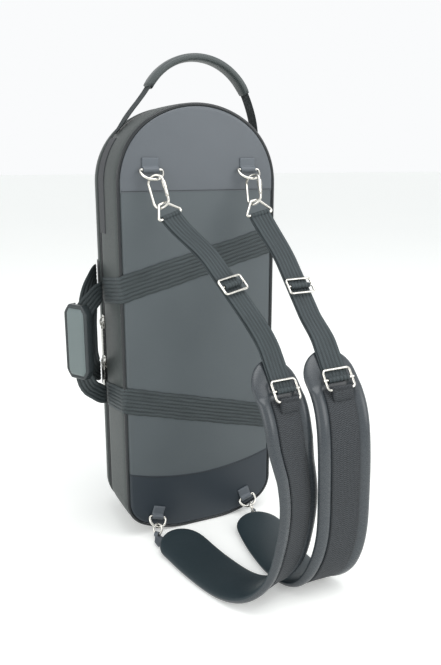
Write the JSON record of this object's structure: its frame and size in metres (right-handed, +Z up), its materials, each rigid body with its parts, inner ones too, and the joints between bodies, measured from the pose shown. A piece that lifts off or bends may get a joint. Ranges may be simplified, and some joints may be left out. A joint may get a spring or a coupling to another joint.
{
  "type": "trumpet case",
  "caption": "Upright arched soft case for a trumpet, zipped round a hinged lid, with padded backpack straps, top grip handle and side carry handle.",
  "frame": {"origin": "centre of the flat bottom the case stands on", "axes": "+Z up, -Y the back panel that carries the straps, +Y the lid, +X the cloth hinge, -X the zip and side carry handle"},
  "size_m": [0.2957, 0.3925, 0.67],
  "materials": {
    "leatherette": "grained case leatherette, soft sheen",
    "yoke_leather": "smooth leather",
    "piping": "rolled leather piping",
    "webbing": "ribbed dark webbing",
    "pad_leather": "soft padded leather",
    "pad_strip": "textured webbing strip",
    "nickel": "polished nickel wire",
    "zip_metal": "nickel-plated zip hardware",
    "zip_tape": "zip tape with coil",
    "hinge_cloth": "woven hinge cloth",
    "plush": "short dark plush",
    "lining": "plush lining",
    "grip_leather": "stitched leather",
    "tab_leather": "folded leather"
  },
  "bodies": {
    "shell": {"side_wall": "leatherette", "back_panel": "leatherette", "back_piping": "piping", "top_yoke": "yoke_leather", "bottom_yoke": "yoke_leather", "upper_band": "webbing", "lower_band": "webbing", "upper_ring_tabs": "tab_leather", "lower_ring_tabs": "tab_leather", "handle_side_webbing": "webbing", "shell_hinge_cloth": "hinge_cloth", "shell_zip_tape": "zip_tape", "shell_insert": "plush", "instrument_saddles": "plush", "mouthpiece_cradle": "plush"},
    "lid": {"lid_shell": "leatherette", "lid_zip_tape": "zip_tape", "lid_lining": "lining", "lid_hinge_cloth": "hinge_cloth", "lid_loop_patches": "webbing"},
    "lid_handle": {"lid_loop": "webbing"},
    "carry_handle": {"shell_loop": "webbing", "grip_wrap": "grip_leather"},
    "top_handle": {"top_handle_strap": "webbing", "top_handle_grip": "grip_leather"},
    "upper_zip": {"upper_slider": "zip_metal"},
    "lower_zip": {"lower_slider": "zip_metal"},
    "upper_tag": {"upper_pull": "zip_metal"},
    "lower_tag": {"lower_pull": "zip_metal"},
    "left_upper_ring": {"left_upper_d_ring": "nickel"},
    "left_lower_ring": {"left_lower_d_ring": "nickel"},
    "left_strap": {"left_clip": "nickel", "left_triangle_ring": "nickel", "left_webbing": "webbing", "left_pad_loop": "nickel", "left_pad": "pad_leather", "left_pad_strip": "pad_strip", "left_foot_ring": "nickel", "left_foot_tab": "tab_leather"},
    "left_gate": {"left_clip_gate": "nickel"},
    "left_glide": {"left_tri_glide": "nickel", "left_glide_loop": "webbing"},
    "right_upper_ring": {"right_upper_d_ring": "nickel"},
    "right_lower_ring": {"right_lower_d_ring": "nickel"},
    "right_strap": {"right_clip": "nickel", "right_triangle_ring": "nickel", "right_webbing": "webbing", "right_pad_loop": "nickel", "right_pad": "pad_leather", "right_pad_strip": "pad_strip", "right_foot_ring": "nickel", "right_foot_tab": "tab_leather"},
    "right_gate": {"right_clip_gate": "nickel"},
    "right_glide": {"right_tri_glide": "nickel", "right_glide_loop": "webbing"}
  },
  "joints": [
    {"name": "lid_hinge", "type": "hinge", "parent": "shell", "child": "lid", "pos_m": [0.1164, 0.015, 0.275], "axis": [0, 0, -1], "range_deg": [0, 110]},
    {"name": "lid_handle_hinge", "type": "hinge", "parent": "lid", "child": "lid_handle", "pos_m": [-0.11724, 0.036, 0.296], "axis": [0, 0, -1], "range_deg": [0, 35]},
    {"name": "carry_handle_hinge", "type": "hinge", "parent": "shell", "child": "carry_handle", "pos_m": [-0.1191, 0.002, 0.273], "axis": [0, 0, 1], "range_deg": [0, 20]},
    {"name": "top_handle_hinge", "type": "hinge", "parent": "shell", "child": "top_handle", "pos_m": [-0.09365, -0.004, 0.562], "axis": [0.982, 0, -0.1887], "range_deg": [-30, 30]},
    {"name": "upper_zip_slide", "type": "slide", "parent": "shell", "child": "upper_zip", "axis": [0, 0, 1], "range_m": [0, 0.17]},
    {"name": "lower_zip_slide", "type": "slide", "parent": "shell", "child": "lower_zip", "axis": [0, 0, -1], "range_m": [0, 0.15]},
    {"name": "upper_tag_hinge", "type": "hinge", "parent": "upper_zip", "child": "upper_tag", "pos_m": [-0.11745, 0.015, 0.302], "axis": [0, 1, 0], "range_deg": [0, 90]},
    {"name": "lower_tag_hinge", "type": "hinge", "parent": "lower_zip", "child": "lower_tag", "pos_m": [-0.11745, 0.015, 0.242], "axis": [0, 1, 0], "range_deg": [0, 20]},
    {"name": "left_upper_ring_hinge", "type": "hinge", "parent": "shell", "child": "left_upper_ring", "pos_m": [-0.07, -0.0736, 0.515], "axis": [1, 0, 0], "range_deg": [-3, 3]},
    {"name": "left_lower_ring_hinge", "type": "hinge", "parent": "shell", "child": "left_lower_ring", "pos_m": [-0.072, -0.0736, 0.027], "axis": [0.9511, 0, -0.309], "range_deg": [-5, 5]},
    {"name": "left_strap_swing", "type": "hinge", "parent": "shell", "child": "left_strap", "pos_m": [-0.07539, -0.08456, 0.01658], "axis": [-0.0111, 0.0066, -0.9999], "range_deg": [0, 20]},
    {"name": "left_gate_hinge", "type": "hinge", "parent": "left_strap", "child": "left_gate", "pos_m": [-0.06103, -0.10735, 0.48486], "axis": [-0.654, -0.654, 0.3801], "range_deg": [0, 20], "stiffness_Nm_per_rad": 0.05, "springref_deg": -5.73},
    {"name": "left_glide_slide", "type": "slide", "parent": "left_strap", "child": "left_glide", "axis": [0.3011, -0.6222, -0.7226], "range_m": [-0.018, 0.018]},
    {"name": "right_upper_ring_hinge", "type": "hinge", "parent": "shell", "child": "right_upper_ring", "pos_m": [0.07, -0.0736, 0.515], "axis": [1, 0, 0], "range_deg": [-3, 3]},
    {"name": "right_lower_ring_hinge", "type": "hinge", "parent": "shell", "child": "right_lower_ring", "pos_m": [0.072, -0.0736, 0.027], "axis": [0.9511, 0, 0.309], "range_deg": [-5, 5]},
    {"name": "right_strap_swing", "type": "hinge", "parent": "shell", "child": "right_strap", "pos_m": [0.07539, -0.08456, 0.01658], "axis": [-0.0111, -0.0066, 0.9999], "range_deg": [0, 20]},
    {"name": "right_gate_hinge", "type": "hinge", "parent": "right_strap", "child": "right_gate", "pos_m": [0.07025, -0.10976, 0.48541], "axis": [-0.8083, -0.3747, 0.454], "range_deg": [0, 20], "stiffness_Nm_per_rad": 0.05, "springref_deg": -5.73},
    {"name": "right_glide_slide", "type": "slide", "parent": "right_strap", "child": "right_glide", "axis": [0.04, -0.6601, -0.7501], "range_m": [-0.018, 0.018]}
  ]
}
